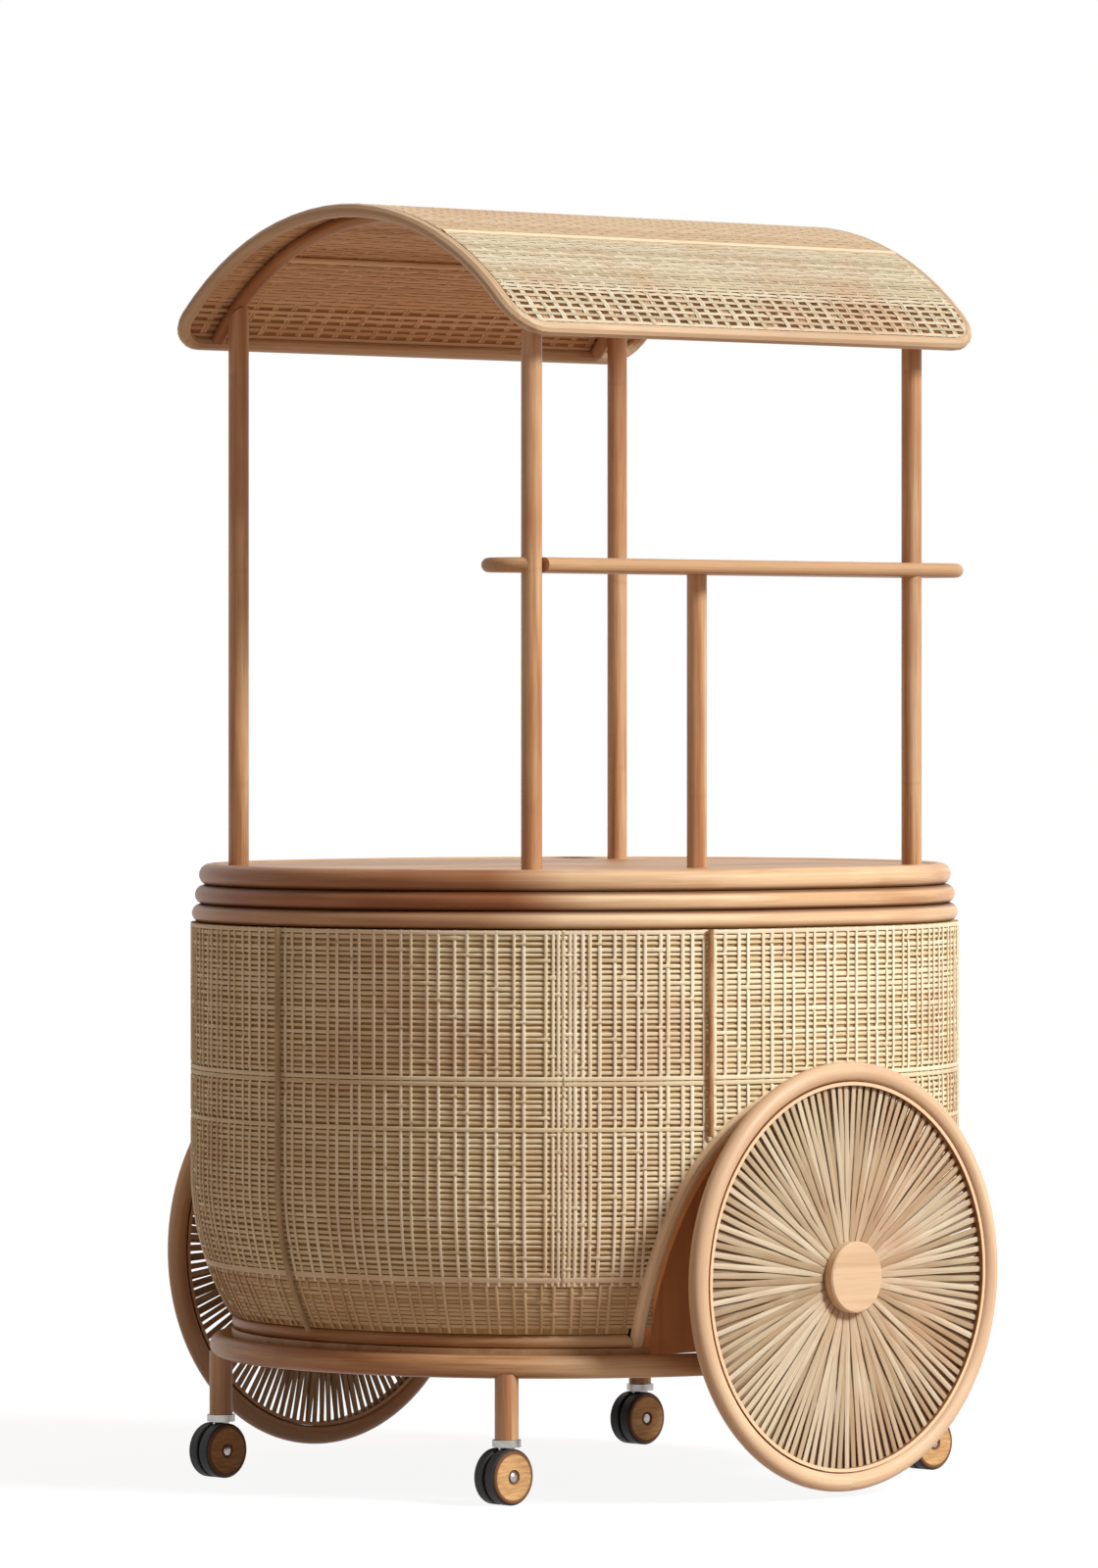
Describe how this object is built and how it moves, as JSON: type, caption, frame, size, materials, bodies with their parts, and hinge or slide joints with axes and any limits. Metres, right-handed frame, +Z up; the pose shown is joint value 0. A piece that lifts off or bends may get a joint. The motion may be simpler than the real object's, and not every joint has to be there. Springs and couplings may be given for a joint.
{
  "type": "rattan serving cart",
  "caption": "Oval woven cane serving cart on casters, with spoked side wheels, posts, a cup shelf and a vaulted cane canopy.",
  "frame": {"origin": "on the floor under the middle of the cart's bounding box", "axes": "+X along the long side of the oval drum, -Y towards the side with the cup shelf, +Z up"},
  "size_m": [1.1826, 1.1686, 1.855],
  "materials": {
    "pole": "satin rattan pole",
    "board": "satin oiled wood",
    "cane": "natural woven cane",
    "liner": "dark stained lining",
    "steel": "brushed",
    "rubber": "matt"
  },
  "bodies": {
    "root": {"worktop_ring": "pole", "upper_collar": "pole", "lower_collar": "pole", "seam_poles": "pole", "frame_uprights": "pole", "bottom_ring": "pole", "base_ring": "pole", "base_bearers": "pole", "arch_pole_near": "pole", "arch_pole_far": "pole", "leg_near_left": "pole", "leg_near_right": "pole", "leg_far_left": "pole", "leg_far_right": "pole", "post_near_left": "pole", "post_near_right": "pole", "post_far_left": "pole", "post_far_right": "pole", "shelf_post": "pole", "canopy_rim": "pole", "canopy_rib_left": "pole", "canopy_rib_right": "pole", "canopy_purlins": "pole", "worktop_panel": "board", "base_panel": "board", "wheel_well_near": "board", "wheel_well_far": "board", "axle_blocks": "board", "axle_spacers": "board", "shelf_board": "board", "drum_cane": "cane", "canopy_cane": "cane", "drum_liner": "liner", "axle": "steel", "axle_nuts": "steel"},
    "wheel_near": {"wheel_near_rim": "pole", "wheel_near_hoop": "cane", "wheel_near_spokes": "cane", "wheel_near_cap": "board"},
    "wheel_far": {"wheel_far_rim": "pole", "wheel_far_hoop": "cane", "wheel_far_spokes": "cane", "wheel_far_cap": "board"},
    "caster_near_left_fork": {"caster_near_left_swivel": "steel"},
    "caster_near_left_wheel": {"caster_near_left_tyres": "rubber", "caster_near_left_discs": "board", "caster_near_left_pin": "steel"},
    "caster_near_right_fork": {"caster_near_right_swivel": "steel"},
    "caster_near_right_wheel": {"caster_near_right_tyres": "rubber", "caster_near_right_discs": "board", "caster_near_right_pin": "steel"},
    "caster_far_left_fork": {"caster_far_left_swivel": "steel"},
    "caster_far_left_wheel": {"caster_far_left_tyres": "rubber", "caster_far_left_discs": "board", "caster_far_left_pin": "steel"},
    "caster_far_right_fork": {"caster_far_right_swivel": "steel"},
    "caster_far_right_wheel": {"caster_far_right_tyres": "rubber", "caster_far_right_discs": "board", "caster_far_right_pin": "steel"}
  },
  "joints": [
    {"name": "wheel_near_spin", "type": "hinge", "parent": "root", "child": "wheel_near", "pos_m": [0, -0.56, 0.316], "axis": [0, 1, 0], "continuous": true},
    {"name": "wheel_far_spin", "type": "hinge", "parent": "root", "child": "wheel_far", "pos_m": [0, 0.56, 0.316], "axis": [0, 1, 0], "continuous": true},
    {"name": "caster_near_left_turn", "type": "hinge", "parent": "root", "child": "caster_near_left_fork", "pos_m": [-0.42617, -0.30725, 0.09], "axis": [0, 0, 1], "continuous": true},
    {"name": "caster_near_left_roll", "type": "hinge", "parent": "caster_near_left_fork", "child": "caster_near_left_wheel", "pos_m": [-0.43217, -0.30725, 0.04], "axis": [0, 1, 0], "continuous": true},
    {"name": "caster_near_right_turn", "type": "hinge", "parent": "root", "child": "caster_near_right_fork", "pos_m": [0.42617, -0.30725, 0.09], "axis": [0, 0, 1], "continuous": true},
    {"name": "caster_near_right_roll", "type": "hinge", "parent": "caster_near_right_fork", "child": "caster_near_right_wheel", "pos_m": [0.42017, -0.30725, 0.04], "axis": [0, 1, 0], "continuous": true},
    {"name": "caster_far_left_turn", "type": "hinge", "parent": "root", "child": "caster_far_left_fork", "pos_m": [-0.42617, 0.30725, 0.09], "axis": [0, 0, 1], "continuous": true},
    {"name": "caster_far_left_roll", "type": "hinge", "parent": "caster_far_left_fork", "child": "caster_far_left_wheel", "pos_m": [-0.43217, 0.30725, 0.04], "axis": [0, 1, 0], "continuous": true},
    {"name": "caster_far_right_turn", "type": "hinge", "parent": "root", "child": "caster_far_right_fork", "pos_m": [0.42617, 0.30725, 0.09], "axis": [0, 0, 1], "continuous": true},
    {"name": "caster_far_right_roll", "type": "hinge", "parent": "caster_far_right_fork", "child": "caster_far_right_wheel", "pos_m": [0.42017, 0.30725, 0.04], "axis": [0, 1, 0], "continuous": true}
  ]
}
